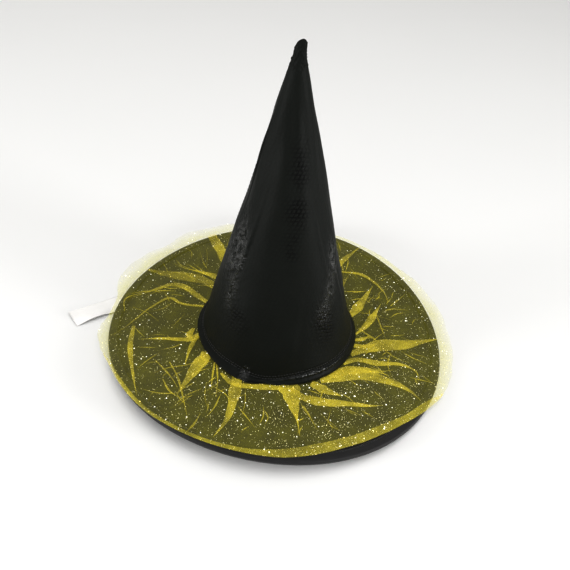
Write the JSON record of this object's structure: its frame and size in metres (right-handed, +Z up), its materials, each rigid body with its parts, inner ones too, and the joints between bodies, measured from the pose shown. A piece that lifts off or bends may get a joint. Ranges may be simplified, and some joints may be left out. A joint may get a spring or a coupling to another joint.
{
  "type": "witch hat",
  "caption": "Pointed black costume hat: a tall embossed cone with a limp tip on a wide round brim, under a pleated yellow glitter net.",
  "frame": {"origin": "centre of the head opening, level with the mean plane of the brim's underside", "axes": "+Z up through the crown, -Y the hat's front, +X to the right when looking at the front; the crown's seam is at the back, +Y"},
  "size_m": [0.4473, 0.383, 0.3594],
  "materials": {
    "crown_cloth": "embossed, glossy coated",
    "brim_cloth": "matte felt",
    "binding": "satin tape",
    "stiffener": "matte non-woven",
    "hoop_wire": "flat spring wire",
    "sleeve": "crimped",
    "thread": "sewing thread",
    "sweatband": "grosgrain ribbon",
    "tulle": "fine net with glitter",
    "label": "smooth woven ribbon"
  },
  "bodies": {
    "hat": {"brim_bottom_fabric": "brim_cloth", "brim_foam": "stiffener", "brim_top_fabric": "brim_cloth", "brim_hoop": "hoop_wire", "hoop_sleeve": "sleeve", "label_tab": "label", "edge_binding": "binding", "binding_thread": "thread", "tulle_overlay": "tulle", "opening_tape": "binding", "sweatband": "sweatband", "sweatband_thread": "thread", "crown_hem": "crown_cloth", "hem_thread": "thread", "crown_cone": "crown_cloth", "crown_stiffener": "stiffener", "back_seam_tape": "binding"},
    "tip": {"crown_tip": "crown_cloth"},
    "label": {"care_label": "label"}
  },
  "joints": [
    {"name": "tip_flop", "type": "hinge", "parent": "hat", "child": "tip", "pos_m": [-0.00913, -0.01004, 0.33], "axis": [0, 1, 0], "range_deg": [-50, 50]},
    {"name": "label_flap", "type": "hinge", "parent": "hat", "child": "label", "pos_m": [-0.19868, 0.01631, -0.00831], "axis": [-0.6361, 0.7716, 0], "range_deg": [-90, 75]}
  ]
}
